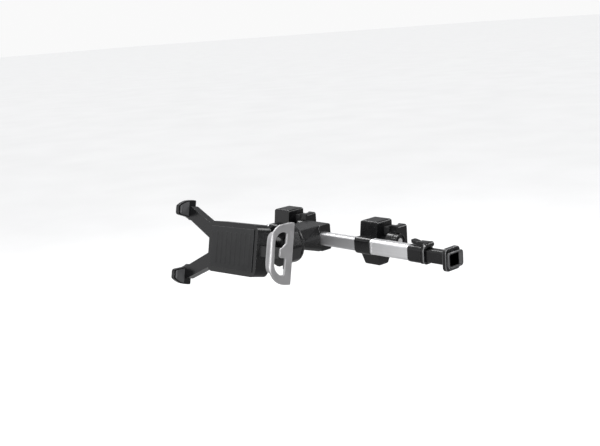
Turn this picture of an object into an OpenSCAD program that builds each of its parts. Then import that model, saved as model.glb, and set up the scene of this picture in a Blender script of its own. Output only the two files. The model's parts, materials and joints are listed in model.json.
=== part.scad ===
// Tablet holder that clamps to the two posts of a car headrest. Millimetres.
// The origin is on the right post's axis, level with the arm's centre line.
// +X runs along the arm to its free end, +Y points back to the seat, +Z runs up the post.

/* [Arm] */
// Distance from the posts forward to the arm's centre line
arm_out = 28.2; // [28.2:0.2:34]
// Depth of the inner bar, front to back
bar_d = 12.2; // [11:0.1:13]
// Height of the inner bar
bar_h = 16.7; // [15:0.1:17]
// Wall of the inner bar
bar_wall = 1.3; // [1.1:0.1:1.8]
// Wall of the outer tube
tube_wall = 1; // [0.8:0.1:1.2]
// Length of inner bar that shows between the head and the right collar
bar_show = 59; // [58.5:0.5:90]
// Length of outer tube that shows between the collar and the lock
tube_show = 60.3; // [40:0.1:90]
// Length of the black tail that shows past the lock
tail_show = 30.8; // [30:0.2:60]

/* [Post clamps] */
// Diameter of the headrest posts that the clamps are closed on
post_d = 12; // [10:0.5:12.5]
// Distance between the two posts
post_spacing = 161; // [158:1:175]
// Width of a clamp body along the arm
clamp_w = 28.5; // [24:0.5:32]
// Height of a clamp body above the arm's centre line
clamp_top = 28.8; // [26:0.2:34]
// Depth of a clamp body below the arm's centre line
clamp_drop = 28; // [24:0.2:31]
// Radius of the clamp knob
knob_r = 9.5; // [8.5:0.1:9.6]

/* [Lock] */
// Length of the lock sleeve
sleeve_l = 20.2; // [16:0.2:26]
// Length of the lock ring's band
ring_l = 6; // [5:0.5:8]
// Reach of the flip lever from its pin to its tip
lever_reach = 24.5; // [22:0.5:30]

/* [Head] */
// Width of the head block along the arm
head_w = 41.6; // [40:0.2:46]
// Distance from the arm's centre line forward to the ball's centre
ball_out = 51.3; // [50:0.1:60]
// Radius of the ball
ball_r = 17; // [16:0.25:17]
// Outside radius of the ring nut across its corners
nut_r = 27.6; // [26.8:0.2:30]

/* [Cradle] */
// Tilt of the cradle, its face turned up
tilt = 13.34; // [0:0.5:20]
// Turn of the cradle on its pivot, its left side down
turn = 2; // [0:0.5:5]
// Distance between the claws' pads and the handle's wall
grip_w = 178.5; // [174:0.5:190]
// Thickness of the cradle, its pad not counted
cradle_t = 22; // [21:0.5:24]
// Height of the cradle's body
cradle_h = 65; // [62:1:70]
// Width of the cradle's body
cradle_w = 93; // [90:1:93]
// Distance between the middles of the two claws
claw_gap = 87; // [84:1:96]

/* [Handle] */
// Height of the handle
handle_h = 76; // [72:1:80]
// Depth of the handle, front to back
handle_d = 37; // [36:1:40]
// Thickness of the handle's wall
handle_t = 3; // [2.5:0.25:4]
// Width of the lip that hooks over the tablet
lip_w = 8; // [7:0.5:12]

/* [Hidden] */
$fn = 48;
eps = 0.01;

// Clearances: seat holds still, run slides, gap keeps curved faces of two bodies apart
seat = 0.05;
run = 0.15;
gap = 0.3;

// Colours, as the photograph shows them
black = "#1b1c1e";
rubber = "#2e3033";
dull_metal = "#8f9294";
bright_metal = "#c4c6c8";
silver = "#a9a9ad";
brass = "#b08d4a";

// Arm, along X
face_x = -9.3;
clamp_x = face_x - clamp_w;
tube_d = bar_d + 2 * (run + tube_wall);
tube_h = bar_h + 2 * (run + tube_wall);
sleeve_x = face_x + tube_show;
ring_x = sleeve_x + sleeve_l;
tail_x = ring_x + ring_l;
grip_x = tail_x + tail_show;
bar_end = ring_x + 2.3;
bar_r = 3;
way_r = bar_r + run;
tube_r = 3.85;
plug_r = bar_r - bar_wall - seat;
bar_start = clamp_x - post_spacing - 2.2;
collar_d = tube_d + 2.3;
collar_h = tube_h + 2.3;
collar_x = clamp_x + 2.3;

// Post clamps
post_r = post_d / 2;
screw_y = -11;
screw_z = 6;
screw_r = 2;
body_front = -21.3;
body_back = 8.5;
pad_front = -6.9;
pad_back = 7.6;
pad_low = -12;
pad_high = 21;
lip_x = 2.2;
jaw_x = 3.2;
jaw_end = 15.1;
jaw_high = 23.8;
jaw_low = -14.5;
knob_x = 11.3;
knob_end = 20.5;

// Lock
pin_x = tail_x + 0.4;
hub_r = 3.6;
pin_z = bar_h / 2 + hub_r + 0.4;
pin_r = 1.5;
ear_y = 4.8;
ear_t = 2.4;

// Head
head_right = clamp_x - bar_show;
head_left = head_right - head_w;
ball_x = head_right - 22.9;
ball_y = -arm_out - ball_out;
liner_r = ball_r + gap + 2;
socket_r = liner_r + gap;
flange_y = 38.3;
spigot_y = flange_y + 3;
spigot_r = socket_r + 2.7;
nut_y = spigot_y + 1.5;
nut_end = ball_out + 11.5;

// Cradle, in the tablet's own frame: X along the arm, Y from the tablet's middle back, Z up its face
hub = [21.6, 74.6, 6.15];
mid_z = -1.7;
handle_mid = mid_z + 1;
front_y = 5;
back_y = front_y + cradle_t;
cover_y = back_y - 3;
shell = 2.6;
cradle_x = -45;
cradle_end = cradle_x + cradle_w;
pad_face_x = -94.3;
wall_x = pad_face_x + grip_w;
claw_t = 6;
arm_y0 = 8;
arm_y1 = 20;
slide_y0 = 9;
slide_y1 = 17.5;
slide_z0 = -7.5;
slide_z1 = 5.5;
stud_r = 6;
cover_spots = [for (x = [cradle_x + 8, cradle_end - 8], z = [-1, 1]) [x, mid_z + z * (cradle_h / 2 - 8)]];

// Centred rectangle with round corners
module rounded(w, h, r) {
    square([w - 2 * r, h], center = true);
    square([w, h - 2 * r], center = true);
    for (x = [-1, 1], z = [-1, 1])
        translate([x * (w / 2 - r), z * (h / 2 - r)]) circle(r);
}

// A (Y, Z) outline run from x0 to x1
module along_x(x0, x1) {
    translate([x0, 0, 0]) rotate([90, 0, 90]) linear_extrude(x1 - x0) children();
}

// Rounded rectangular end that swells over length e, from inset all round to its full size
module swell(x0, e, inset, w, h, r) {
    for (a = [0, 30, 60]) hull() for (b = [a, a + 30]) {
        cut = inset * (1 - sin(b));
        along_x(x0 + e * (1 - cos(b)), x0 + e * (1 - cos(b)) + eps)
            rounded(w - 2 * cut, h - 2 * cut, r - cut, $fn = 32);
    }
}

// An (X, Z) outline run from y0 to y1
module along_y(y0, y1) {
    translate([0, y1, 0]) rotate([90, 0, 0]) linear_extrude(y1 - y0) children();
}

// A rod along X, Y or Z from its first end
module rod_x(x0, x1, r) {
    translate([x0, 0, 0]) rotate([0, 90, 0]) cylinder(h = x1 - x0, r = r);
}

module rod_y(y0, y1, r) {
    translate([0, y0, 0]) rotate([-90, 0, 0]) cylinder(h = y1 - y0, r = r);
}

module on_arm() {
    translate([0, -arm_out, 0]) children();
}

module on_left_post() {
    translate([-post_spacing, 0, 0]) children();
}

module on_screw() {
    translate([0, screw_y, screw_z]) children();
}

module in_cradle() {
    translate([ball_x, ball_y, 0]) rotate([-tilt, 0, 0]) rotate([0, -turn, 0]) translate(-hub) children();
}

// Socket-head screw pointing down -Z, its head's underside at z = 0
module screw(shank_r, shank_l, head_r, head_h) {
    translate([0, 0, -shank_l]) cylinder(h = shank_l + eps, r = shank_r);
    difference() {
        cylinder(h = head_h, r = head_r);
        translate([0, 0, head_h * 0.35]) cylinder(h = head_h, r = head_r * 0.5, $fn = 6);
    }
}

// Post clamps

// Side view of a clamp body: the front leans back at its top and its foot, the back foot is cut away
module clamp_side() {
    offset(2.5) offset(-2.5) polygon([
        [body_front + 3, clamp_top], [body_back, clamp_top], [body_back, -6], [-3, -clamp_drop],
        [body_front + 3.8, -clamp_drop], [body_front, -12.5], [body_front, 9]
    ]);
}

module clamp_front() {
    offset(3) offset(-3) polygon([
        [clamp_x, clamp_top], [face_x, clamp_top], [face_x, -clamp_drop],
        [clamp_x + 3.8, -clamp_drop], [clamp_x, -11]
    ]);
}

module pad_seat(x0, x1, slack) {
    translate([x0, pad_front - slack, pad_low - slack])
        cube([x1 - x0, pad_back - pad_front + 2 * slack, pad_high - pad_low + 2 * slack]);
}

module post_way(r) {
    translate([0, 0, -60]) cylinder(h = 120, r = r);
}

// Body, collar and nut boss are one moulding. The collar takes a bar or a tube of hold_d by hold_h.
module clamp_body(hold_d, hold_h, hold_r, lip) {
    color(black) difference() {
        union() {
            intersection() {
                along_x(clamp_x, face_x) clamp_side();
                along_y(body_front, body_back) clamp_front();
            }
            on_arm() {
                swell(collar_x, 3, 1.8, collar_d, collar_h, 5.5);
                along_x(collar_x + 3, face_x) rounded(collar_d, collar_h, 5.5);
            }
            on_screw() rod_x(face_x - 1, 1.6, 4);
        }
        on_arm() along_x(collar_x + lip, face_x + 1)
            rounded(hold_d + 2 * seat, hold_h + 2 * seat, hold_r + seat);
        on_arm() along_x(clamp_x - 1, face_x) rounded(bar_d + 2 * run, bar_h + 2 * run, way_r);
        pad_seat(face_x - 2, 5, seat);
        post_way(post_r + 0.6);
        on_screw() rod_x(-13, 5, 3 + seat);
        on_screw() rod_x(-26, 5, 2.5);
        translate([-28, screw_y - 3.3, -12.3]) cube([20, 5.6, 5.6]);
        arm_screw_way(clamp_x + 8);
    }
}

// Rubber half that bears on the post; side is -1 in the body and 1 in the jaw
module post_pad(side, back_x) {
    color(rubber) difference() {
        if (side < 0) pad_seat(back_x, -lip_x, 0);
        else pad_seat(lip_x, back_x, 0);
        post_way(post_r);
        for (z = [pad_low + 6 : 7 : pad_high - 4])
            translate([0, 0, z]) cylinder(h = 1.6, r = post_r + 0.8);
    }
}

module clamp_insert() {
    color(brass) difference() {
        on_screw() rod_x(-13, 1.6, 3);
        on_screw() rod_x(-14, 3, screw_r + seat);
    }
}

module clamp_jaw() {
    color(black) difference() {
        union() {
            along_y(-8, body_back) intersection() {
                translate([jaw_x - 6, jaw_low]) offset(3) offset(-3)
                    square([jaw_end - jaw_x + 6, jaw_high - jaw_low]);
                translate([jaw_x, jaw_low]) square([20, 60]);
            }
            along_y(-11, -7.9)
                polygon([[jaw_x, 6], [jaw_x, 14], [9, 23], [jaw_end, jaw_high], [jaw_end, 6]]);
            on_screw() rod_x(jaw_x, 11, knob_r);
            translate([-16, screw_y - 3, -12]) cube([jaw_x + 20, 5, 5]);
            translate([jaw_x, screw_y - 3, -12]) cube([5, 8, 14]);
        }
        pad_seat(-5, 9, seat);
        post_way(post_r + 0.6);
        on_screw() rod_x(11, jaw_end + 1, knob_r + 0.5);
        on_screw() rod_x(0, 12, screw_r + seat);
    }
}

// Hand knob with a ribbed waist between two rims, and a hub sunk in its face
module clamp_knob() {
    rim = 1.4;
    color(black) on_screw() difference() {
        union() {
            rod_x(knob_x, knob_x + rim, knob_r);
            rod_x(knob_end - rim, knob_end, knob_r);
            rod_x(knob_x, knob_end, knob_r - 0.9);
            for (a = [0 : 20 : 340])
                rotate([a, 0, 0]) translate([0, 0, knob_r - 1]) rod_x(knob_x + 1, knob_end - 1, 0.7);
        }
        difference() {
            rod_x(knob_end - 1.5, knob_end + 1, knob_r - 1.2);
            rod_x(knob_end - 3, knob_end - 0.4, 5.4);
        }
        rod_x(knob_end - 3.3, knob_end + 1, 4.2 + seat);
        rod_x(knob_x - 1, knob_end, screw_r + seat);
    }
}

module clamp_screw() {
    color(bright_metal) on_screw()
        translate([knob_end - 3.2, 0, 0]) rotate([0, 90, 0]) screw(screw_r, 33, 4.2, 2.6);
}

module right_clamp_body() { clamp_body(tube_d, tube_h, tube_r, 1); }
module right_pad() { post_pad(-1, face_x - 2 + seat); }
module right_insert() { clamp_insert(); }
module right_jaw() { clamp_jaw(); }
module right_jaw_pad() { post_pad(1, 9 - seat); }
module right_knob() { clamp_knob(); }
module right_clamp_screw() { clamp_screw(); }
module left_clamp_body() { on_left_post() clamp_body(bar_d, bar_h, bar_r, -1); }
module left_pad() { on_left_post() right_pad(); }
module left_insert() { on_left_post() clamp_insert(); }
module left_jaw() { on_left_post() clamp_jaw(); }
module left_jaw_pad() { on_left_post() right_jaw_pad(); }
module left_knob() { on_left_post() clamp_knob(); }
module left_clamp_screw() { on_left_post() clamp_screw(); }

// Small screws that come up from under the arm and hold a bar or a tube in its seat
module arm_screw_way(x) {
    on_arm() translate([x, 0, -collar_h / 2]) {
        translate([0, 0, -1]) cylinder(h = 6, r = 1.5 + seat);
        translate([0, 0, -10]) cylinder(h = 10.7, r = 2.6 + seat);
    }
}

module arm_screw(x, reach) {
    on_arm() translate([x, 0, -collar_h / 2 + 0.7]) mirror([0, 0, 1]) screw(1.5, reach, 2.6, 0.7);
}

module arm_screws() {
    color(dull_metal) {
        arm_screw(clamp_x + 8, 1.2);
        arm_screw(sleeve_x + 8, 1.2);
    }
}

module left_arm_screw() {
    color(dull_metal) arm_screw(clamp_x + 8 - post_spacing, 2.8);
}

// Arm

module inner_bar() {
    color(dull_metal) difference() {
        on_arm() along_x(bar_start, bar_end) difference() {
            rounded(bar_d, bar_h, bar_r);
            rounded(bar_d - 2 * bar_wall, bar_h - 2 * bar_wall, bar_r - bar_wall);
        }
        arm_screw_way(clamp_x + 8 - post_spacing);
    }
}

module bar_cap() {
    color(black) on_arm() {
        along_x(bar_start - 2, bar_start) rounded(bar_d, bar_h, bar_r);
        along_x(bar_start - eps, bar_start + 8)
            rounded(bar_d - 2 * bar_wall - 2 * seat, bar_h - 2 * bar_wall - 2 * seat, plug_r);
    }
}

// The tube's left end is rolled to a low bead that sits against the collar
module outer_tube() {
    color(bright_metal) difference() {
        on_arm() difference() {
            union() {
                along_x(collar_x + 1, ring_x - 3.5) rounded(tube_d, tube_h, tube_r);
                along_x(face_x, face_x + 2.6) rounded(tube_d + 0.6, tube_h + 0.6, tube_r + 0.3);
            }
            along_x(clamp_x, ring_x) rounded(bar_d + 2 * run, bar_h + 2 * run, way_r);
        }
        arm_screw_way(clamp_x + 8);
        arm_screw_way(sleeve_x + 8);
    }
}

module lock_sleeve() {
    color(black) difference() {
        on_arm() difference() {
            union() {
                swell(sleeve_x, 3, 0.75, tube_d + 1.9, tube_h + 1.9, 5);
                along_x(sleeve_x + 3, ring_x) rounded(tube_d + 1.9, tube_h + 1.9, 5);
            }
            along_x(sleeve_x - 1, ring_x - 3.3)
                rounded(tube_d + 2 * seat, tube_h + 2 * seat, tube_r + seat);
            along_x(sleeve_x, ring_x + 1) rounded(bar_d + 2 * run, bar_h + 2 * run, way_r);
        }
        arm_screw_way(sleeve_x + 8);
    }
}

// Band round the tail with a raised edge at both ends, two ears for the pin and a slot for the cam
module lock_ring() {
    color(black) on_arm() difference() {
        union() {
            along_x(ring_x + seat, tail_x) rounded(tube_d + 2.9, tube_h + 2.4, 5.4);
            for (x = [ring_x + seat, tail_x - 1.3])
                along_x(x, x + 1.3) rounded(tube_d + 3.6, tube_h + 3.1, 5.75);
            for (side = [-1, 1])
                along_y(side * (ear_y + ear_t / 2) - ear_t / 2, side * (ear_y + ear_t / 2) + ear_t / 2)
                    hull() {
                        translate([pin_x, pin_z]) circle(3.2);
                        translate([ring_x + 1.2, bar_h / 2 - 1]) square([ring_l - 1.2, 3]);
                    }
        }
        along_x(ring_x - 1, tail_x + 1) rounded(bar_d + 2 * run, bar_h + 2 * run, way_r);
        translate([ring_x + 2, -ear_y, bar_h / 2 - 1]) cube([ring_l, 2 * ear_y, 12]);
        translate([pin_x, 0, pin_z]) rod_y(-10, 10, pin_r + 0.03);
    }
}

module lever_pin() {
    color(dull_metal) on_arm() translate([pin_x, 0, pin_z])
        rod_y(-ear_y - ear_t, ear_y + ear_t, pin_r);
}

// Side view of the flip lever: cam hub, flat shoulder, a notch, and a paddle that rises to its tip
module lever_side() {
    top = pin_z + hub_r;
    thick = 3.6;
    difference() {
        union() {
            translate([pin_x, pin_z]) circle(hub_r);
            polygon([
                [pin_x, top], [pin_x - 12.6, top - 0.3], [pin_x - 12.6, top - 4.5], [pin_x - 2, top - 4.5]
            ]);
            hull() {
                translate([pin_x - 12.6, top - 1.1 - thick / 2]) circle(thick / 2);
                translate([pin_x - lever_reach + thick / 2, top + 1.05 - thick / 2]) circle(thick / 2);
            }
        }
        translate([pin_x - 13.3, top - 0.4]) circle(1.2);
    }
}

module lock_lever() {
    color(black) on_arm() difference() {
        intersection() {
            along_y(-4.5, 4.5) lever_side();
            hull() {
                translate([pin_x - lever_reach + 4.5, 0, 5]) cylinder(h = 20, r = 4.5);
                translate([pin_x, -4.5, 5]) cube([hub_r + 1, 9, 20]);
            }
        }
        translate([pin_x, 0, pin_z]) rod_y(-10, 10, pin_r + 0.06);
    }
}

module tail_bar() {
    plug_d = bar_d - 2 * bar_wall - 2 * seat;
    plug_h = bar_h - 2 * bar_wall - 2 * seat;
    color(black) on_arm() difference() {
        union() {
            along_x(bar_end - 30, bar_end + 1) rounded(plug_d, plug_h, plug_r);
            along_x(bar_end, grip_x + 3) rounded(bar_d, bar_h, bar_r);
        }
        along_x(bar_end - 31, grip_x + 4) rounded(plug_d - 3, plug_h - 3, 0.8);
    }
}

// Grip and end stop: a square flange, a groove, and a flared hollow mouth with a round rim
module end_grip() {
    color(black) on_arm() difference() {
        union() {
            along_x(grip_x, grip_x + 5.2) rounded(27.6, 27.4, 5.5);
            along_x(grip_x + 5, grip_x + 7.4) rounded(24, 17, 3.8);
            along_x(grip_x + 7.2, grip_x + 9.7) rounded(28, 19.6, 4);
        }
        along_x(grip_x - 1, grip_x + 3 + seat) rounded(bar_d + 2 * seat, bar_h + 2 * seat, bar_r + seat);
        hull() {
            along_x(grip_x + 2.8, grip_x + 3.05) rounded(9, 13, 1);
            along_x(grip_x + 9.7, grip_x + 9.8) rounded(24, 15.6, 3);
        }
    }
}

// Head

// Section of the horn: flat top, bevelled shoulders, flat bottom
module horn_section(half_w, top_w, high, shoulder, low) {
    polygon([
        [-top_w, high], [top_w, high], [half_w, shoulder], [half_w, low + 3], [half_w - 3, low],
        [3 - half_w, low], [-half_w, low + 3], [-half_w, shoulder]
    ]);
}

// Block on the bar, horn out to the socket's flange, and the socket itself, in one moulding. A hollow
// at the block's back leaves room for the left knob as the left clamp opens.
module head_block() {
    block_mid = (head_left + head_right) / 2;
    color(black) difference() {
        union() {
            along_x(head_left, head_right) translate([-arm_out + 3.9, 0.8]) rounded(20, 35, 3);
            hull() {
                translate([block_mid, 0, 0]) along_y(-arm_out - 7, -arm_out - 4)
                    horn_section(head_w / 2, head_w / 2 - 2.4, 18.3, 2, -16.5);
                translate([ball_x, 0, 0]) along_y(-arm_out - flange_y - 0.5, -arm_out - flange_y + 2)
                    horn_section(25, 18.4, 17.75, 3.2, -7);
            }
            translate([ball_x, -arm_out, 0]) {
                rod_y(-spigot_y, -flange_y, 26);
                rod_y(-ball_out - 3.5, -flange_y, spigot_r);
            }
        }
        on_arm() along_x(head_left - 1, head_right + 1)
            rounded(bar_d + 2 * run, bar_h + 2 * run, way_r);
        translate([ball_x, ball_y, 0]) rotate([90, 0, 0]) rotate_extrude() intersection() {
            circle(socket_r);
            translate([0, -30]) square([30, 60]);
        }
        translate([block_mid, -arm_out, 0]) rod_y(0, 20, 2.5 + seat);
        on_left_post() on_screw() rod_x(0, knob_end + 9.4, knob_r + 0.4);
    }
}

module head_screw() {
    color(dull_metal) translate([(head_left + head_right) / 2, -arm_out, 0]) difference() {
        rod_y(bar_d / 2 + gap, 13, 2.5);
        translate([0, 10, 0]) rotate([-90, 0, 0]) cylinder(h = 4, r = 1.5, $fn = 6);
    }
}

// Eight-sided ring nut that closes the socket over the ball
module ring_nut() {
    color(black) translate([ball_x, -arm_out, 0]) difference() {
        intersection() {
            rotate([90, 0, 0]) translate([0, 0, nut_y])
                cylinder(h = nut_end - nut_y, r = nut_r, $fn = 8);
            rod_y(-nut_end, -nut_y, nut_r - 0.9);
        }
        rod_y(-ball_out - 4, -nut_y + 1, spigot_r + seat);
        translate([0, -ball_out, 0]) sphere(socket_r + 0.1);
    }
}

module ball_liner() {
    color(rubber) translate([ball_x, ball_y, 0]) rotate([90, 0, 0]) rotate_extrude() difference() {
        intersection() {
            circle(liner_r);
            translate([5, -12]) square([30, 23]);
        }
        circle(ball_r + gap);
    }
}

// Ball, tapered neck, hub disc and pivot, turned in one piece along the cradle's normal
module ball_stud() {
    disc = hub[1] - back_y - gap;
    color(black) translate([ball_x, ball_y, 0]) rotate([-tilt, 0, 0]) difference() {
        union() {
            sphere(ball_r);
            rod_y(-disc, 0, 6.5);
            translate([0, -disc, 0]) rotate([-90, 0, 0]) cylinder(h = 20, r1 = 13, r2 = 6.5);
            rod_y(-disc, -disc + 4, 21);
            rod_y(cover_y - hub[1] + 0.2, -disc + 1, stud_r);
        }
        rod_y(-disc - 8, -disc + 9, 2 + seat);
    }
}

module on_stud_end() {
    in_cradle() translate([hub[0], cover_y, hub[2]]) rotate([90, 0, 0]) children();
}

module stud_washer() {
    color(dull_metal) on_stud_end() difference() {
        translate([0, 0, 0.1]) cylinder(h = 1.2, r = 10);
        cylinder(h = 3, r = 2.3);
    }
}

module stud_screw() {
    color(dull_metal) on_stud_end() translate([0, 0, 1.35]) screw(2, 10, 4, 2.4);
}

// Cradle

module cradle_outline(inset) {
    translate([(cradle_x + cradle_end) / 2, mid_z])
        rounded(cradle_w - 2 * inset, cradle_h - 2 * inset, 9 - inset);
}

// Upper claw's side view, forward to the left; the outer edge is round and the inner one hollow
module claw_side() {
    offset(1.5) offset(-1.5) polygon([
        [arm_y1, 13], [15.8, 13.1], [9.2, 12.6], [4.1, 11.7], [-0.3, 9.9], [-4, 7.9], [-7.2, 5.6],
        [-8.2, 4.2], [-8.2, -4.6], [-7, -6.7], [-4, -7.8], [2.5, -8.9], [7.3, -9.8], [12, -12],
        [14.8, -14], [arm_y1, -14]
    ]);
}

module upper_arm_and_claw() {
    z = claw_gap / 2;
    back_x = pad_face_x - 2 - claw_t;
    hull() {
        translate([cradle_x + 8, 0, 14]) rod_y(arm_y0, arm_y1, 9);
        translate([back_x + 9, 0, z - 3]) rod_y(arm_y0, arm_y1, 8);
    }
    translate([0, 0, z]) along_x(back_x, back_x + claw_t) claw_side();
}

// Both halves of the claws and arms are alike, above and below the middle
module both_claws() {
    translate([0, 0, mid_z]) {
        children();
        mirror([0, 0, 1]) children();
    }
}

module cradle_body() {
    color(black) in_cradle() difference() {
        union() {
            along_y(front_y, cover_y) cradle_outline(0);
            both_claws() upper_arm_and_claw();
        }
        difference() {
            along_y(front_y + shell, cover_y + 1) cradle_outline(shell);
            for (p = cover_spots) translate([p[0], 0, p[1]]) rod_y(front_y, cover_y + 2, 3.6);
        }
        for (p = cover_spots) translate([p[0], 0, p[1]]) rod_y(cover_y - 9, cover_y + 1, 1.4 + seat);
        translate([cradle_end - 10, slide_y0 - gap, slide_z0 - gap])
            cube([20, slide_y1 - slide_y0 + 2 * gap, slide_z1 - slide_z0 + 2 * gap]);
    }
}

module back_cover() {
    color(black) in_cradle() difference() {
        along_y(cover_y + seat, back_y) cradle_outline(0);
        translate([hub[0], 0, hub[2]]) rod_y(cover_y - 1, back_y + 1, stud_r + seat);
        for (p = cover_spots) translate([p[0], 0, p[1]]) {
            rod_y(cover_y - 1, back_y + 1, 1.4 + seat);
            rod_y(back_y - 1.4, back_y + 1, 2.7 + seat);
        }
    }
}

module cover_screws() {
    color(dull_metal) in_cradle() for (p = cover_spots)
        translate([p[0], back_y - 1.4, p[1]]) rotate([-90, 0, 0]) screw(1.4, 9, 2.7, 1.4);
}

// Ribbed rubber sheet that the tablet's back rests on
module rest_pad() {
    color(rubber) in_cradle() {
        translate([0, 0, 0]) along_y(front_y - 1.2, front_y - seat) cradle_outline(6);
        for (x = [cradle_x + 16 : 9 : cradle_end - 14])
            translate([x, front_y - 1.7, mid_z - cradle_h / 2 + 12])
                cube([3, 1, cradle_h - 24]);
    }
}

module claw_pads() {
    color(rubber) in_cradle() both_claws() translate([0, 0, claw_gap / 2]) {
        along_x(pad_face_x - 2 + seat, pad_face_x) intersection() {
            offset(-1.6) claw_side();
            translate([-7, -20]) square([14.6, 40]);
        }
        along_x(pad_face_x - 1, pad_face_x + 2) intersection() {
            offset(-1.6) claw_side();
            translate([-7, -20]) square([2.4, 40]);
        }
    }
}

// Two springs between the carriage and the right wall that draw the handle in. They are drawn as
// short as the handle's outermost place presses them.
module return_springs() {
    start = 20.3;
    turns = 13;
    pitch = (cradle_end - shell - 0.2 - start) / turns;
    color(dull_metal) in_cradle() for (z = [15, -18.4]) translate([0, (slide_y0 + slide_y1) / 2, z])
        for (i = [0 : turns - 1])
            rod_x(start + i * pitch, start + (i + 1) * pitch + (i < turns - 1 ? eps : 0), i % 2 ? 1.9 : 2.2);
}

// Handle

// Slide bar with a carriage inside the cradle and a foot that carries the handle
module handle_slider() {
    foot_x = wall_x - 2.5;
    color(black) in_cradle() difference() {
        union() {
            translate([-8, slide_y0, slide_z0])
                cube([wall_x + 8, slide_y1 - slide_y0, slide_z1 - slide_z0]);
            translate([-8, slide_y0, mid_z - 11])
                cube([20, slide_y1 - slide_y0, 22]);
            translate([9.8, slide_y0 + 2, mid_z - 20])
                cube([2.2, slide_y1 - slide_y0 - 4, 40]);
            translate([foot_x, slide_y0, slide_z0]) cube([2.5, 19, slide_z1 - slide_z0]);
            translate([foot_x, 19, mid_z - 18]) cube([2.5, 9, 36]);
        }
        for (z = [-13, 13]) translate([0, 23.5, mid_z + z]) rod_x(foot_x - 1, wall_x + 1, 1.4 + seat);
    }
}

// D outline in (depth, height): its round front to the left, its back straight, its top a little arched
module handle_outline() {
    front = -8;
    top = handle_mid + handle_h / 2;
    low = handle_mid - handle_h / 2;
    offset(1.5) offset(-1.5) intersection() {
        hull() {
            translate([front + 22, top - 2.2 - 22]) circle(22);
            translate([front + 27, low + 27]) circle(27);
            translate([front + handle_d - 7, low]) square([7, handle_h]);
        }
        translate([front, low]) square([handle_d, handle_h]);
    }
}

// Finger hole with a slanted tab in its back edge, so that two fingers pull
module finger_hole() {
    back = 17.5;
    offset(1.5) offset(-1.5) difference() {
        hull() {
            translate([12, mid_z + 14]) circle(12.7);
            translate([14.5, mid_z - 10.4]) circle(14.7);
            translate([back - 3, mid_z + 23.5]) circle(3);
            translate([back - 3, mid_z - 22]) circle(3);
        }
        translate([back, -60]) square([30, 120]);
        translate([0, mid_z]) offset(3) offset(-3)
            polygon([[8, -4.6], [30, -4.6], [30, 22], [18, 14], [13, 8.8], [8, 6.2]]);
    }
}

// Plan of the handle: its outer front corner is well rounded, where the wall turns into the lip
module handle_plan() {
    translate([0, 0, -100]) linear_extrude(200) offset(7) offset(-7)
        translate([wall_x + handle_t - 60, -8]) square([60, 60]);
}

module handle() {
    color(silver) in_cradle() difference() {
        intersection() {
            union() {
                along_x(wall_x, wall_x + handle_t) handle_outline();
                intersection() {
                    along_x(wall_x + handle_t - lip_w, wall_x + 1) intersection() {
                        handle_outline();
                        translate([-20, -60]) square([15.6, 120]);
                    }
                    along_y(-12, 0) translate([wall_x + handle_t - lip_w + 20, handle_mid])
                        rounded(40, handle_h - 22, 8);
                }
            }
            handle_plan();
        }
        along_x(wall_x - 1, wall_x + handle_t + 1) finger_hole();
        for (z = [-13, 13]) translate([0, 23.5, mid_z + z]) rod_x(wall_x - 1, wall_x + 2, 1.4 + seat);
    }
}

module handle_screws() {
    color(dull_metal) in_cradle() for (z = [-13, 13])
        translate([wall_x - 2.5, 23.5, mid_z + z]) rotate([0, -90, 0]) screw(1.4, 4.4, 2.6, 1.6);
}

right_clamp_body();
right_pad();
right_insert();
outer_tube();
lock_sleeve();
lock_ring();
lever_pin();
arm_screws();
right_jaw();
right_jaw_pad();
right_knob();
right_clamp_screw();
lock_lever();
inner_bar();
bar_cap();
left_clamp_body();
left_pad();
left_insert();
left_arm_screw();
tail_bar();
end_grip();
left_jaw();
left_jaw_pad();
left_knob();
left_clamp_screw();
head_block();
head_screw();
ring_nut();
ball_liner();
ball_stud();
stud_washer();
stud_screw();
cradle_body();
back_cover();
cover_screws();
rest_pad();
claw_pads();
return_springs();
handle_slider();
handle();
handle_screws();
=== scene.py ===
import json
import math

import bmesh
import bpy
from mathutils import Matrix, Vector

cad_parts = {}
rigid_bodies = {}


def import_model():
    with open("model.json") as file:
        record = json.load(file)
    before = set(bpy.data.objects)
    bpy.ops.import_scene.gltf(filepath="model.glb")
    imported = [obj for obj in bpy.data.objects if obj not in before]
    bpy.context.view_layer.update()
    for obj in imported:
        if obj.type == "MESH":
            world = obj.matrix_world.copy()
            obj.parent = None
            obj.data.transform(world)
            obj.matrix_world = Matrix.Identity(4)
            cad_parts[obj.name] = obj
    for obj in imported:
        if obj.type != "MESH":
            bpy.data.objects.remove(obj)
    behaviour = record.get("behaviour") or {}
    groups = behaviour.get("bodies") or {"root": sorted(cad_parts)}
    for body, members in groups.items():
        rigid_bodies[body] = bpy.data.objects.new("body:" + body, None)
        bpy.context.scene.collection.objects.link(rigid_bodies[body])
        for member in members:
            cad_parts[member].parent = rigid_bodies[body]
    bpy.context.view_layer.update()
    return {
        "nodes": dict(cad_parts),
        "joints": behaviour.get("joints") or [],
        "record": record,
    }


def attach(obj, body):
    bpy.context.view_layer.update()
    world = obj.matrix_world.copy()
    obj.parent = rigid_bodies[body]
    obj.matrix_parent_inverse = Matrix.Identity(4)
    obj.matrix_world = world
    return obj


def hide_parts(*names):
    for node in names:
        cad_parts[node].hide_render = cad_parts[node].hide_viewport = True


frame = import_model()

bodyRows = frame["record"]["behaviour"]["bodies"]
nodeBody = {node: body for body, group in bodyRows.items() for node in group}
jointRow = {joint["name"]: joint for joint in frame["joints"]}
mm = 0.001
scene = bpy.context.scene


# Node helpers

def put(tree, kind, links=None, **values):
    # A node with each value on its setting or input of that name, and its linked inputs
    node = tree.nodes.new(kind)
    for key, value in values.items():
        if hasattr(node, key):
            setattr(node, key, value)
        else:
            node.inputs[key.replace("_", " ")].default_value = value
    for label, source in (links or {}).items():
        tree.links.new(source, node.inputs[label])
    return node


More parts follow.
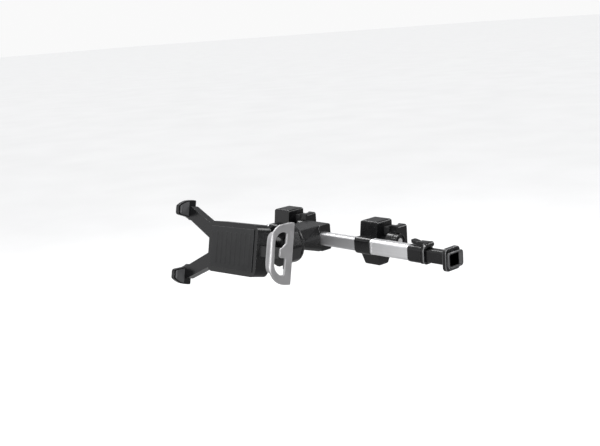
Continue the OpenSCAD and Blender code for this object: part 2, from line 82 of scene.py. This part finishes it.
def feed(tree, socket, value):
    # A number or a colour is set, anything else is linked
    if isinstance(value, (int, float)):
        socket.default_value = value
    elif isinstance(value, tuple):
        socket.default_value = (*value, 1.0)
    else:
        tree.links.new(value, socket)


def mathNode(tree, operation, a, b, clamp=False):
    node = put(tree, "ShaderNodeMath", operation=operation, use_clamp=clamp)
    feed(tree, node.inputs[0], a)
    feed(tree, node.inputs[1], b)
    return node.outputs[0]


def ramp(tree, value, low, high, a=0.0, b=1.0):
    node = put(tree, "ShaderNodeMapRange", clamp=True, From_Min=low, From_Max=high, To_Min=a, To_Max=b)
    tree.links.new(value, node.inputs["Value"])
    return node.outputs[0]


def noise(tree, vector, scale, detail=3.0, rough=0.55):
    node = put(tree, "ShaderNodeTexNoise", {"Vector": vector}, Detail=detail, Roughness=rough)
    feed(tree, node.inputs["Scale"], scale)
    return node.outputs["Fac"]


def objectCoords(tree, stretch=None):
    coords = put(tree, "ShaderNodeTexCoord").outputs["Object"]
    if not stretch:
        return coords
    return put(tree, "ShaderNodeMapping", {"Vector": coords}, Scale=stretch).outputs[0]


def mixColour(tree, factor, a, b):
    node = put(tree, "ShaderNodeMix", {"Factor": factor}, data_type="RGBA")
    # its sockets 6 and 7 are the two colours, and 2 puts out their mix
    feed(tree, node.inputs[6], a)
    feed(tree, node.inputs[7], b)
    return node.outputs[2]


# Shader groups that the materials share

def newGroup(name, inputs, outputs):
    group = bpy.data.node_groups.new(name, "ShaderNodeTree")
    for label, value in inputs.items():
        socket = group.interface.new_socket(label, in_out="INPUT", socket_type="NodeSocketFloat")
        socket.default_value = value
    for label in outputs:
        group.interface.new_socket(label, in_out="OUTPUT", socket_type="NodeSocketFloat")
    return group, group.nodes.new("NodeGroupInput").outputs, group.nodes.new("NodeGroupOutput").inputs


def makeGrainGroup():
    # The mould's fine texture, and slow clouds of tone over it
    values = dict(scale=2600.0, fineShare=0.6, cellShare=0.5, cloudScale=60.0)
    group, given, result = newGroup("mouldedGrain", {"Scale": values["scale"]}, ["Height", "Tone"])
    coords = objectCoords(group)
    fine = noise(group, coords, given["Scale"], 2.0, 0.6)
    cells = put(group, "ShaderNodeTexVoronoi", {"Vector": coords, "Scale": given["Scale"]})
    fine = mathNode(group, "MULTIPLY", fine, values["fineShare"])
    cells = mathNode(group, "MULTIPLY", cells.outputs["Distance"], values["cellShare"])
    cloudy = noise(group, coords, values["cloudScale"], 4.0, 0.6)
    group.links.new(mathNode(group, "ADD", fine, cells), result["Height"])
    group.links.new(ramp(group, cloudy, 0.3, 0.7), result["Tone"])
    return group


def makeWearAndHighlightGroup():
    # Rounded edges, marked in the mesh as "edge", made lighter in uneven patches: partly real edge wear,
    # partly a painted highlight along the edges
    values = dict(spread=0.5, patchScale=420.0, faintestPatch=0.72)
    group, given, result = newGroup("edgeWearAndHighlight", {"Spread": values["spread"]}, ["Factor"])
    edge = put(group, "ShaderNodeAttribute", attribute_name="edge")
    patches = noise(group, objectCoords(group), values["patchScale"], 4.0, 0.65)
    patches = ramp(group, patches, 0.35, 0.65, values["faintestPatch"], 1.0)
    wornAndHighlit = mathNode(group, "MULTIPLY", edge.outputs["Fac"], patches)
    wornAndHighlit = mathNode(group, "MULTIPLY", wornAndHighlit, given["Spread"], clamp=True)
    group.links.new(wornAndHighlit, result["Factor"])
    return group


def makeDustGroup():
    # A little dust on what faces up
    values = dict(amount=0.1, steepest=0.3, patchScale=95.0)
    group, given, result = newGroup("dustFilm", {"Amount": values["amount"]}, ["Factor"])
    normal = put(group, "ShaderNodeNewGeometry").outputs["Normal"]
    height = put(group, "ShaderNodeSeparateXYZ", {"Vector": normal}).outputs["Z"]
    facing = ramp(group, height, values["steepest"], 1.0)
    patches = noise(group, objectCoords(group), values["patchScale"], 5.0, 0.7)
    settled = mathNode(group, "MULTIPLY", facing, ramp(group, patches, 0.4, 0.75))
    settled = mathNode(group, "MULTIPLY", settled, given["Amount"])
    group.links.new(settled, result["Factor"])
    return group


grainGroup, wearAndHighlightGroup, dustGroup = makeGrainGroup(), makeWearAndHighlightGroup(), makeDustGroup()
print("shader groups made")


# Materials

def useGroup(tree, group, **values):
    return put(tree, "ShaderNodeGroup", node_tree=group, **values)


def newMaterial(name, **values):
    material = bpy.data.materials.new(name)
    material.use_nodes = True
    tree = material.node_tree
    tree.nodes.clear()
    shader = put(tree, "ShaderNodeBsdfPrincipled", **values)
    put(tree, "ShaderNodeOutputMaterial", {"Surface": shader.outputs[0]})
    return material, tree, shader


def dress(tree, shader, colour, rough, height, strength, distance):
    bump = put(tree, "ShaderNodeBump", {"Height": height}, Strength=strength, Distance=distance)
    for label, source in (("Base Color", colour), ("Roughness", rough), ("Normal", bump.outputs[0])):
        tree.links.new(source, shader.inputs[label])


def plastic(name, dark, light, rough, wearAndHighlight, dust, grain=2600.0, bumpDepth=0.25, coat=0.0, shine=0.5,
            flake=0.0, wornAndHighlitColour=(0.16, 0.16, 0.165)):
    values = dict(smoother=0.05, rougher=0.06, rubbedSmooth=0.12, dustRough=0.5, grainHeight=0.00006,
                  coatRough=0.18, dustColour=(0.34, 0.33, 0.31))
    material, tree, shader = newMaterial(
        name, Coat_Weight=coat, Coat_Roughness=values["coatRough"], Specular_IOR_Level=shine, Metallic=flake)
    texture = useGroup(tree, grainGroup, Scale=grain)
    wornAndHighlit = useGroup(tree, wearAndHighlightGroup, Spread=wearAndHighlight).outputs[0]
    dusty = useGroup(tree, dustGroup, Amount=dust).outputs[0]
    colour = mixColour(tree, texture.outputs["Tone"], dark, light)
    # Edges take the lighter edge colour: partly real wear, partly painted highlight
    colour = mixColour(tree, wornAndHighlit, colour, wornAndHighlitColour)
    colour = mixColour(tree, dusty, colour, values["dustColour"])
    roughness = ramp(tree, texture.outputs["Tone"], 0.0, 1.0,
                     rough - values["smoother"], rough + values["rougher"])
    rubbed = mathNode(tree, "MULTIPLY", wornAndHighlit, values["rubbedSmooth"])
    dulled = mathNode(tree, "MULTIPLY", dusty, values["dustRough"])
    roughness = mathNode(tree, "SUBTRACT", roughness, rubbed, clamp=True)
    roughness = mathNode(tree, "ADD", roughness, dulled, clamp=True)
    dress(tree, shader, colour, roughness, texture.outputs["Height"], bumpDepth, values["grainHeight"])
    return material


def metal(name, dark, light, rough, stretch, depth=0.2):
    values = dict(lineShare=0.6, cloudShare=0.4, cloudScale=38.0, duller=0.08, brighter=0.06, wearAndHighlight=0.4,
                  lineHeight=0.00004, wornAndHighlitColour=(0.86, 0.86, 0.86))
    material, tree, shader = newMaterial(name, Metallic=1.0)
    lines = noise(tree, objectCoords(tree, stretch), 1.0, 3.0, 0.6)
    cloudy = noise(tree, objectCoords(tree), values["cloudScale"], 4.0, 0.6)
    wornAndHighlit = useGroup(tree, wearAndHighlightGroup, Spread=values["wearAndHighlight"]).outputs[0]
    tone = mathNode(tree, "ADD", mathNode(tree, "MULTIPLY", lines, values["lineShare"]),
                    mathNode(tree, "MULTIPLY", cloudy, values["cloudShare"]))
    colour = mixColour(tree, ramp(tree, tone, 0.3, 0.7), dark, light)
    # Edges take the light edge colour: partly real burnish, partly painted highlight
    colour = mixColour(tree, wornAndHighlit, colour, values["wornAndHighlitColour"])
    roughness = ramp(tree, tone, 0.3, 0.7, rough + values["duller"], rough - values["brighter"])
    dress(tree, shader, colour, roughness, lines, depth, values["lineHeight"])
    return material


blackMould = dict(dark=(0.0045, 0.0046, 0.0050), light=(0.0070, 0.0071, 0.0076), rough=0.25, dust=0.015,
                  bumpDepth=0.10)
# Each finish's edge colour is partly real edge wear and partly a painted highlight on its rounded edges
plastics = {
    "black": dict(blackMould, wearAndHighlight=0.55, shine=0.34, wornAndHighlitColour=(0.085, 0.085, 0.088)),
    # The next three paint strong highlights: light edge colours on edges, rims and the lock ring's lip
    "edgeHighlighted": dict(blackMould, wearAndHighlight=0.90, shine=0.36, wornAndHighlitColour=(0.17, 0.17, 0.174)),
    "rimHighlighted": dict(blackMould, wearAndHighlight=0.85, shine=0.38, wornAndHighlitColour=(0.23, 0.23, 0.235)),
    "lipHighlighted": dict(blackMould, wearAndHighlight=0.95, shine=0.36, wornAndHighlitColour=(0.42, 0.42, 0.425)),
    "gloss": dict(dark=(0.0050, 0.0051, 0.0055), light=(0.0080, 0.0081, 0.0087), rough=0.24, wearAndHighlight=0.40,
                  dust=0.02, bumpDepth=0.10, shine=0.40, wornAndHighlitColour=(0.10, 0.10, 0.104)),
    # Painted light: a lighter grey for the end grip's mouth walls, standing in for light reaching into the
    # mouth
    "mouthPaintedLight": dict(dark=(0.048, 0.0485, 0.050), light=(0.070, 0.0705, 0.0722), rough=0.50, wearAndHighlight=0.2,
                   dust=0.05, bumpDepth=0.2, wornAndHighlitColour=(0.12, 0.12, 0.123)),
    "silver": dict(dark=(0.34, 0.336, 0.342), light=(0.40, 0.396, 0.402), rough=0.46, wearAndHighlight=0.25, dust=0.02,
                   grain=1900.0, bumpDepth=0.05, coat=0.08, flake=0.66, wornAndHighlitColour=(0.74, 0.74, 0.75)),
    "rubber": dict(dark=(0.012, 0.0122, 0.0128), light=(0.020, 0.0203, 0.0212), rough=0.68, wearAndHighlight=0.16,
                   dust=0.06, grain=1500.0, bumpDepth=0.4, shine=0.4),
    "clawRubber": dict(dark=(0.078, 0.079, 0.082), light=(0.096, 0.097, 0.100), rough=0.66, wearAndHighlight=0.15,
                       dust=0.06, grain=1500.0, bumpDepth=0.4, wornAndHighlitColour=(0.2, 0.2, 0.21)),
}
metals = {
    "tube": dict(name="tubeAluminium", dark=(0.77, 0.77, 0.78), light=(0.87, 0.87, 0.88), rough=0.46,
                 stretch=(14, 2300, 2300)),
    "bar": dict(name="barAluminium", dark=(0.54, 0.54, 0.55), light=(0.66, 0.66, 0.67), rough=0.50,
                stretch=(14, 2300, 2300)),
    "steel": dict(name="screwSteel", dark=(0.50, 0.50, 0.50), light=(0.68, 0.68, 0.68), rough=0.24,
                  stretch=(900, 900, 900), depth=0.12),
    "brightSteel": dict(name="clampScrewSteel", dark=(0.82, 0.82, 0.82), light=(0.92, 0.92, 0.92),
                        rough=0.30, stretch=(900, 900, 900), depth=0.12),
    "brass": dict(name="insertBrass", dark=(0.48, 0.33, 0.12), light=(0.66, 0.48, 0.20), rough=0.28,
                  stretch=(1400, 300, 300), depth=0.12),
}
materials = {key: plastic(key + "Plastic", **values) for key, values in plastics.items()}
materials.update({key: metal(**values) for key, values in metals.items()})
print("materials made:", len(materials))


# Mesh helpers

def sharpest(vert):
    # How far the edge that stands out most at this point turns
    turns = [edge.calc_face_angle_signed(0.0) for edge in vert.link_edges if len(edge.link_faces) == 2]
    return max(0.0, max(turns, default=0.0))


def markEdges(bm):
    # Each point's mark from 0 to 1, blurred into its neighbours
    values = dict(fullTurn=32, blurs=2, ownShare=0.6)
    layer = bm.verts.layers.float.get("edge") or bm.verts.layers.float.new("edge")
    marks = {vert: min(1.0, sharpest(vert) / math.radians(values["fullTurn"])) for vert in bm.verts}
    for _ in range(values["blurs"]):
        around = {vert: sum(marks[edge.other_vert(vert)] for edge in vert.link_edges)
                  / max(1, len(vert.link_edges)) for vert in marks}
        marks = {vert: values["ownShare"] * marks[vert] + (1 - values["ownShare"]) * around[vert]
                 for vert in marks}
    for vert, mark in marks.items():
        vert[layer] = mark


def markStrips(bm, fullTurn=24):
    # Only the rounded strips between flat faces are marked, and only where they stand out
    layer = bm.loops.layers.float.get("edge") or bm.loops.layers.float.new("edge")
    for face in bm.faces:
        if face.material_index == 1:
            for loop in face.loops:
                loop[layer] = min(1.0, sharpest(loop.vert) / math.radians(fullTurn))
        face.material_index = 0


def reworked(mesh, *changes):
    # The mesh after each change, a function of its bmesh
    bm = bmesh.new()
    bm.from_mesh(mesh)
    for change in changes:
        change(bm)
    bm.to_mesh(mesh)
    bm.free()
    return mesh


def turnOutwards(bm):
    bmesh.ops.recalc_face_normals(bm, faces=bm.faces)


def smoothFaces(bm):
    for face in bm.faces:
        face.smooth = True


def applied(mesh, modifiers):
    # The mesh with its modifiers' result in it, as plain mesh data
    holder = bpy.data.objects.new("holder", mesh)
    scene.collection.objects.link(holder)
    for kind, values in modifiers:
        modifier = holder.modifiers.new(kind.title(), kind)
        for key, value in values.items():
            if hasattr(modifier, key):
                setattr(modifier, key, value)
            else:
                modifier[key] = value
    graph = bpy.context.evaluated_depsgraph_get()
    result = bpy.data.meshes.new_from_object(holder.evaluated_get(graph))
    bpy.data.objects.remove(holder)
    return result


def cleaned(node):
    # A copy of the node's mesh with its split corners joined and its flat faces whole
    values = dict(weld=0.000002, flat=0.6)

    def weldAndFlatten(bm):
        bmesh.ops.remove_doubles(bm, verts=bm.verts, dist=values["weld"])
        bmesh.ops.dissolve_limit(bm, angle_limit=math.radians(values["flat"]), verts=bm.verts,
                                 edges=bm.edges, use_dissolve_boundaries=False)

    return reworked(frame["nodes"][node].data.copy(), weldAndFlatten, turnOutwards, smoothFaces)


def newPiece(name, mesh, material, node):
    piece = bpy.data.objects.new(name, mesh)
    scene.collection.objects.link(piece)
    mesh.materials.clear()
    mesh.materials.append(materials[material])
    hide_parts(node)
    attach(piece, nodeBody[node])


def soften(node, material, width):
    # The node's own shape with its sharp edges rounded
    values = dict(segments=3, sharp=33, weld=0.000001)
    mesh = cleaned(node)
    mesh.materials.clear()
    for _ in range(2):      # the second slot tells the rounded strips from the rest
        mesh.materials.append(materials[material])
    result = applied(mesh, [("BEVEL", dict(
        width=width * mm, segments=values["segments"], limit_method="ANGLE",
        angle_limit=math.radians(values["sharp"]), material=1, miter_outer="MITER_ARC"))])
    reworked(result, lambda bm: bmesh.ops.remove_doubles(bm, verts=bm.verts, dist=values["weld"]), markStrips)
    result = applied(result, [("WEIGHTED_NORMAL", dict(keep_sharp=True))])
    newPiece(node + "_form", result, material, node)


def melted(node, material, voxel, passes, space=Matrix()):
    # A moulding whose faces flow into each other, remeshed square to its own frame
    mesh = cleaned(node)
    mesh.transform(space.inverted())
    result = applied(mesh, [
        ("REMESH", dict(mode="VOXEL", voxel_size=voxel * mm, use_smooth_shade=True)),
        ("SMOOTH", dict(factor=0.5, iterations=passes))])
    reworked(result, markEdges, smoothFaces)
    result.transform(space)
    newPiece(node + "_form", result, material, node)


def roundedBlock(low, high, radius):
    # A block between two corners, in mm, with every edge round
    def shape(bm):
        bmesh.ops.create_cube(bm, size=1)
        for vert in bm.verts:
            for axis in range(3):
                vert.co[axis] = (high[axis] if vert.co[axis] > 0 else low[axis]) * mm
        bmesh.ops.bevel(bm, geom=list(bm.edges), offset=radius * mm, segments=3, profile=0.5,
                        affect="EDGES", material=1)

    return reworked(bpy.data.meshes.new("block"), shape, turnOutwards, smoothFaces, markStrips)


# Geometry trees: each has named inputs, and ends in real geometry with its finish

def newTree(name, **inputs):
    tree = bpy.data.node_groups.new(name, "GeometryNodeTree")
    for label, kind in dict(inputs, Finish="Material").items():
        tree.interface.new_socket(label, in_out="INPUT", socket_type="NodeSocket" + kind)
    tree.interface.new_socket("Result", in_out="OUTPUT", socket_type="NodeSocketGeometry")
    return tree, tree.nodes.new("NodeGroupInput").outputs


def endTree(tree, given, instances):
    real = put(tree, "GeometryNodeRealizeInstances", {"Geometry": instances})
    painted = put(tree, "GeometryNodeSetMaterial",
                  {"Geometry": real.outputs[0], "Material": given["Finish"]})
    tree.links.new(painted.outputs[0], put(tree, "NodeGroupOutput").inputs[0])
    return tree


def throughTree(mesh, tree, material, **values):
    # What the tree makes of the mesh
    values["Finish"] = materials[material]
    inputs = {item.identifier: values[item.name] for item in tree.interface.items_tree
              if item.in_out == "INPUT" and item.name in values}
    return applied(mesh, [("NODES", dict(node_group=tree, **inputs))])


def makeRepeatTree():
    # One feature repeated along a line
    tree, given = newTree("repeatFeature", Feature="Geometry", Count="Int", Shift="Vector")
    line = put(tree, "GeometryNodeMeshLine", {
        "Count": given["Count"], "Offset": given["Shift"]}, mode="OFFSET")
    placed = put(tree, "GeometryNodeInstanceOnPoints", {
        "Points": line.outputs[0], "Instance": given["Feature"]})
    return endTree(tree, given, placed.outputs[0])


def makeCoilTree():
    # A coil spring along X from each point
    values = dict(stepsPerTurn=20, wireSides=8)
    tree, given = newTree("coilSpring", Points="Geometry", Turns="Float", Length="Float",
                          Radius="Float", Wire="Float")
    spiral = put(tree, "GeometryNodeCurveSpiral", {
        "Rotations": given["Turns"], "Start Radius": given["Radius"], "End Radius": given["Radius"],
        "Height": given["Length"]}, Resolution=values["stepsPerTurn"])
    ring = put(tree, "GeometryNodeCurvePrimitiveCircle", {"Radius": given["Wire"]},
               Resolution=values["wireSides"])
    wire = put(tree, "GeometryNodeCurveToMesh", {
        "Curve": spiral.outputs[0], "Profile Curve": ring.outputs[0]}, Fill_Caps=True)
    turned = put(tree, "GeometryNodeTransform", {"Geometry": wire.outputs[0]},
                 Rotation=(0, math.radians(90), 0))
    placed = put(tree, "GeometryNodeInstanceOnPoints", {
        "Points": given["Points"], "Instance": turned.outputs[0]})
    return endTree(tree, given, placed.outputs[0])


# Cradle's own frame: X along the handle's slide, Y into the pivot, and the ball's centre at the hub.
# Sizes in the pieces' dictionaries are in mm.

cradleHub = Vector((21.6, 74.6, 6.15)) * mm
slideWay = Vector(jointRow["handle_slide"]["axis"]).normalized()
pivotWay = Vector(jointRow["cradle_spin"]["axis"]).normalized()
upWay = slideWay.cross(pivotWay).normalized()
ballCentre = Vector(jointRow["ball_pan"]["pos_m"])
cradleTurn = Matrix((slideWay, pivotWay, upWay)).transposed().to_4x4()
cradleSpace = Matrix.Translation(ballCentre) @ cradleTurn @ Matrix.Translation(-cradleHub)


def makeRestPad():
    values = dict(left=-39, right=42, low=-28.2, high=24.8, front=3.8, back=4.9, round=0.45,
                  ribs=8, firstRib=-29, pitch=9, ribWidth=3, ribFront=3.3, ribBack=4.5, ribLow=-22.2,
                  ribHigh=18.8, ribRound=0.65)
    pad = roundedBlock((values["left"], values["front"], values["low"]),
                       (values["right"], values["back"], values["high"]), values["round"])
    rib = roundedBlock((values["firstRib"], values["ribFront"], values["ribLow"]),
                       (values["firstRib"] + values["ribWidth"], values["ribBack"], values["ribHigh"]),
                       values["ribRound"])
    ribs = throughTree(rib, makeRepeatTree(), "rubber", Count=values["ribs"],
                       Shift=(values["pitch"] * mm, 0, 0))
    reworked(pad, lambda bm: bm.from_mesh(ribs))
    pad.transform(cradleSpace)
    newPiece("rest_pad_sheet", pad, "rubber", "rest_pad")


def makeSprings():
    values = dict(start=20.6, length=24.2, turns=13.0, radius=1.85, wire=0.32, depth=13.25,
                  heights=(15, -18.4))
    ends = bpy.data.meshes.new("ends")
    ends.from_pydata([Vector((values["start"], values["depth"], height)) * mm
                      for height in values["heights"]], [], [])
    coils = throughTree(ends, makeCoilTree(), "steel", Turns=values["turns"], Length=values["length"] * mm,
                        Radius=values["radius"] * mm, Wire=values["wire"] * mm)
    reworked(coils, turnOutwards, smoothFaces)
    coils.transform(cradleSpace)
    newPiece("return_springs_coils", coils, "steel", "return_springs")


makeRestPad()
makeSprings()
print("ribs and springs repeated")

# Finish and remeshing of the mouldings that flow, sizes in mm
melts = {
    "handle": dict(material="silver", voxel=0.42, passes=14, space=cradleSpace),
    "head_block": dict(material="black", voxel=0.5, passes=2),
}
for node, values in melts.items():
    melted(node, **values)
print("mouldings melted:", len(melts))

# Finish and edge width in mm of every other piece
softened = {
    # The edge, rim and lip finishes paint highlights on the clamp bodies, knobs, end grip and lock ring
    "right_clamp_body": ("edgeHighlighted", 0.9), "left_clamp_body": ("edgeHighlighted", 0.9),
    "right_jaw": ("black", 0.8), "left_jaw": ("black", 0.8),
    "right_pad": ("rubber", 0.35), "left_pad": ("rubber", 0.35),
    "right_jaw_pad": ("rubber", 0.35), "left_jaw_pad": ("rubber", 0.35),
    "right_knob": ("rimHighlighted", 0.28), "left_knob": ("rimHighlighted", 0.28),
    "right_insert": ("brass", 0.15), "left_insert": ("brass", 0.15),
    "right_clamp_screw": ("brightSteel", 0.2), "left_clamp_screw": ("brightSteel", 0.2),
    "outer_tube": ("tube", 0.25), "inner_bar": ("bar", 0.25), "bar_cap": ("black", 0.5),
    "lock_sleeve": ("black", 0.6), "lock_ring": ("lipHighlighted", 0.5), "lock_lever": ("black", 0.7),
    "lever_pin": ("steel", 0.2), "arm_screws": ("steel", 0.15), "left_arm_screw": ("steel", 0.15),
    "tail_bar": ("black", 0.3), "end_grip": ("rimHighlighted", 0.7),
    "head_screw": ("steel", 0.2), "ring_nut": ("gloss", 0.9), "ball_liner": ("rubber", 0.2),
    "ball_stud": ("gloss", 0.6), "stud_washer": ("steel", 0.15), "stud_screw": ("steel", 0.15),
    "cradle_body": ("black", 1.1), "back_cover": ("black", 0.6), "cover_screws": ("steel", 0.15),
    "claw_pads": ("clawRubber", 0.35),
    "handle_slider": ("black", 0.4), "handle_screws": ("steel", 0.15),
}
for node, (material, width) in softened.items():
    soften(node, material, width)
print("pieces softened:", len(softened))


def paintMouthLight():
    # The flared mouth's inner walls get the lighter mouth finish: painted light standing in for light
    # reaching into the mouth
    values = dict(piece="end_grip_form", start=109.6, middle=-28.2, halfDepth=12.2, halfHeight=8.0,
                  facing=0.2)
    mesh = bpy.data.objects[values["piece"]].data
    mesh.materials.append(materials["mouthPaintedLight"])
    for polygon in mesh.polygons:
        place = polygon.center / mm - Vector((values["start"], values["middle"], 0))
        inside = place.x > 0 and abs(place.y) < values["halfDepth"] and abs(place.z) < values["halfHeight"]
        inward = Vector((0, -place.y, -place.z)).normalized()
        if inside and polygon.normal.dot(inward) > values["facing"]:
            polygon.material_index = 1


def paintLipHighlight():
    # The lock ring's raised tail end gets painted highlights along its two edges
    values = dict(piece="lock_ring_form", lip=1.3, line=0.36, flattest=0.9)
    mesh = bpy.data.objects[values["piece"]].data
    end = max(vert.co.x for vert in mesh.vertices if vert.co.z < 0)
    lip, line = values["lip"] * mm, values["line"] * mm
    lines = [(end - line, end), (end - lip, end - lip + line)]

    def cutAndMark(bm):
        for place in lines[0] + lines[1]:
            bmesh.ops.bisect_plane(bm, geom=bm.verts[:] + bm.edges[:] + bm.faces[:], dist=0.000001,
                                   plane_co=(place, 0, 0), plane_no=(1, 0, 0))
        layer = bm.loops.layers.float["edge"]
        for face in bm.faces:
            centre = face.calc_center_median().x
            if abs(face.normal.x) < values["flattest"] and any(low < centre < high for low, high in lines):
                for loop in face.loops:
                    loop[layer] = 1.0

    reworked(mesh, cutAndMark)


paintMouthLight()
paintLipHighlight()
print("mouth and ring finished")


# Camera, floor and light

def makeCamera():
    # Where the photograph was taken from, in degrees, and metres
    values = dict(azimuth=46.66, elevation=11.91, roll=-4.13, lens=56.69, place=(0.7635, -0.8806, 0.27835),
                  nearest=0.05, farthest=60)
    azimuth, elevation, roll = (math.radians(values[key]) for key in ("azimuth", "elevation", "roll"))
    level = math.cos(elevation)
    back = Vector((math.sin(azimuth) * level, -math.cos(azimuth) * level, math.sin(elevation)))
    across = Vector((math.cos(azimuth), math.sin(azimuth), 0))
    above = back.cross(across)
    right = across * math.cos(roll) + above * math.sin(roll)
    up = above * math.cos(roll) - across * math.sin(roll)
    data = bpy.data.cameras.new("camera")
    data.sensor_width = 36
    data.lens = values["lens"]
    data.clip_start, data.clip_end = values["nearest"], values["farthest"]
    camera = bpy.data.objects.new("camera", data)
    scene.collection.objects.link(camera)
    turn = Matrix((right, up, back)).transposed().to_4x4()
    camera.matrix_world = Matrix.Translation(values["place"]) @ turn
    scene.camera = camera


def splitByCamera(tree, others, seen, output):
    # One shader for what the camera sees, another for what lights the object
    path = put(tree, "ShaderNodeLightPath")
    mixed = put(tree, "ShaderNodeMixShader", {0: path.outputs["Is Camera Ray"], 1: others, 2: seen})
    tree.links.new(mixed.outputs[0], output.inputs[0])


def makeFloor():
    # Pale to the eye, and dim to the object, so that its blacks stay black
    values = dict(half=50, height=-0.42, darker=(0.86, 0.86, 0.86), paler=(0.89, 0.89, 0.89), dim=0.34,
                  gloss=0.2, mottleScale=3.0, smooth=0.75, rough=0.85, bump=0.05, bumpHeight=0.001)
    mesh = bpy.data.meshes.new("floor")
    corners = [(-1, -1), (1, -1), (1, 1), (-1, 1)]
    mesh.from_pydata([(x * values["half"], y * values["half"], values["height"]) for x, y in corners], [],
                     [(0, 1, 2, 3)])
    floor = bpy.data.objects.new("floor", mesh)
    scene.collection.objects.link(floor)
    material, tree, shader = newMaterial("paleFloor", Specular_IOR_Level=values["gloss"])
    mottle = noise(tree, objectCoords(tree), values["mottleScale"])
    colour = mixColour(tree, ramp(tree, mottle, 0.3, 0.7), values["darker"], values["paler"])
    roughness = ramp(tree, mottle, 0.3, 0.7, values["smooth"], values["rough"])
    dress(tree, shader, colour, roughness, mottle, values["bump"], values["bumpHeight"])
    dimmed = put(tree, "ShaderNodeBsdfDiffuse", Color=(values["dim"], values["dim"], values["dim"], 1))
    splitByCamera(tree, dimmed.outputs[0], shader.outputs[0], tree.nodes["Material Output"])
    mesh.materials.append(material)


def makeStudio():
    values = dict(fill=0.35, fillColour=(0.97, 0.98, 1.0, 1), backdrop=0.95, backdropColour=(1, 1, 1, 1))
    world = bpy.data.worlds.new("studio")
    scene.world = world
    world.use_nodes = True
    tree = world.node_tree
    tree.nodes.clear()
    fill, backdrop = (put(tree, "ShaderNodeBackground", Color=values[key + "Colour"], Strength=values[key])
                      for key in ("fill", "backdrop"))
    splitByCamera(tree, fill.outputs[0], backdrop.outputs[0], put(tree, "ShaderNodeOutputWorld"))
    scene.view_settings.view_transform = "Standard"


# Sizes in degrees for the sun and in metres for the panels, power in W/m2 and in W
aim = Vector((-0.05, -0.06, 0))
lights = {
    "sky": dict(kind="SUN", place=(-0.5, -1.1, 2.3), size=50, power=2.5),
    "front": dict(kind="AREA", place=(-1.3, -1.3, 0.2), size=1.4, power=5),
    "cameraSide": dict(kind="AREA", place=(1.35, -1.3, 0.2), size=0.3, power=16),
    "rim": dict(kind="AREA", place=(-1.1, 0.3, 1.2), size=0.6, power=12),
    "back": dict(kind="AREA", place=(0.7, 1.4, 0.8), size=0.6, power=10),
}


def makeLight(name, kind, place, size, power):
    data = bpy.data.lights.new(name, kind)
    data.energy = power
    if kind == "SUN":
        data.angle = math.radians(size)
    else:
        data.size = size
    light = bpy.data.objects.new(name, data)
    scene.collection.objects.link(light)
    light.location = place
    light.rotation_mode = "QUATERNION"
    light.rotation_quaternion = (Vector(place) - aim).to_track_quat("Z", "Y")


makeCamera()
makeFloor()
makeStudio()
for name, values in lights.items():
    makeLight(name, **values)
print("stage set")
